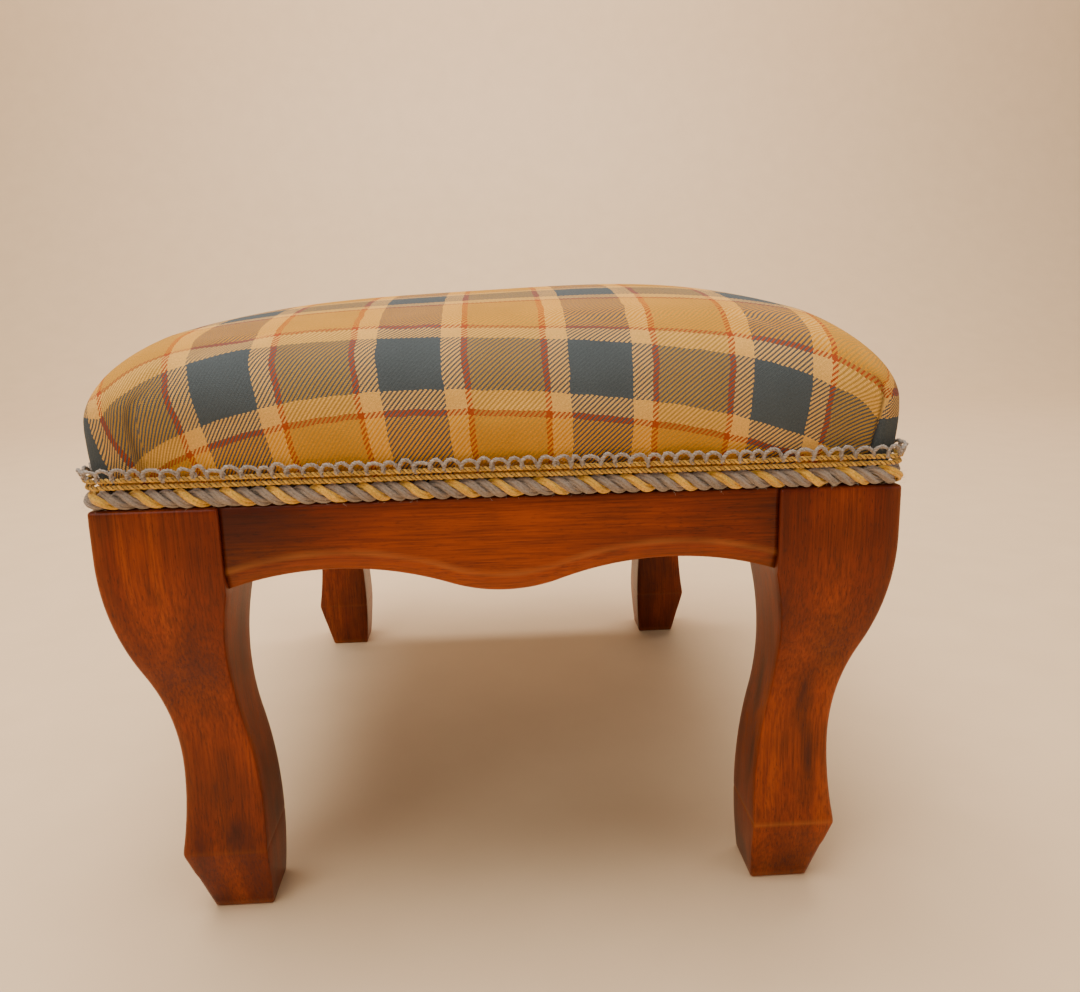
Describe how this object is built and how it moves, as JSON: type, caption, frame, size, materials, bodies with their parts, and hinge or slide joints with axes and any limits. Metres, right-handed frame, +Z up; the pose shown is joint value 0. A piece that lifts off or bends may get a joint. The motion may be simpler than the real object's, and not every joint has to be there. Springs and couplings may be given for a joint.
{
  "type": "upholstered footstool",
  "caption": "Low footstool with cabriole-shaped wooden legs, shaped aprons, and a crowned plaid cushion edged with rope braid.",
  "frame": {"origin": "on the floor, midway between the four feet", "axes": "+Z up, -Y towards the pictured narrow end, +Y along the length of the stool, +X to the right"},
  "size_m": [0.325, 0.405, 0.2715],
  "materials": {
    "stained_beech": "satin varnish over orange-brown stain",
    "plain_beech": "bare",
    "screw_steel": "dull zinc",
    "tack_steel": "blued",
    "jute_webbing": "coarse plain weave",
    "hessian": "open plain weave",
    "foam": "open-cell foam",
    "wadding": "cotton fleece",
    "plaid_cloth": "twill weave in yellow, blue-grey, cream and rust checks",
    "trim_grey": "twisted yarn",
    "trim_yellow": "twisted yarn",
    "black_cambric": "fine plain weave"
  },
  "bodies": {
    "root": {"leg_front_left": "stained_beech", "leg_front_right": "stained_beech", "leg_rear_left": "stained_beech", "leg_rear_right": "stained_beech", "rail_front": "stained_beech", "rail_rear": "stained_beech", "rail_left": "stained_beech", "rail_right": "stained_beech", "corner_block_front_left": "plain_beech", "corner_block_front_right": "plain_beech", "corner_block_rear_left": "plain_beech", "corner_block_rear_right": "plain_beech", "corner_block_screws": "screw_steel", "webbing_long_1": "jute_webbing", "webbing_long_2": "jute_webbing", "webbing_long_3": "jute_webbing", "webbing_cross_1": "jute_webbing", "webbing_cross_2": "jute_webbing", "webbing_cross_3": "jute_webbing", "webbing_cross_4": "jute_webbing", "webbing_tacks": "tack_steel", "hessian": "hessian", "foam_pad": "foam", "wadding": "wadding", "seat_cover": "plaid_cloth", "cover_tacks": "tack_steel", "gimp_band": "trim_grey", "gimp_rope": "trim_grey", "gimp_cord_lower": "trim_yellow", "gimp_cord_upper": "trim_yellow", "gimp_loops": "trim_grey", "dust_cover": "black_cambric", "dust_cover_tacks": "tack_steel"}
  },
  "joints": []
}
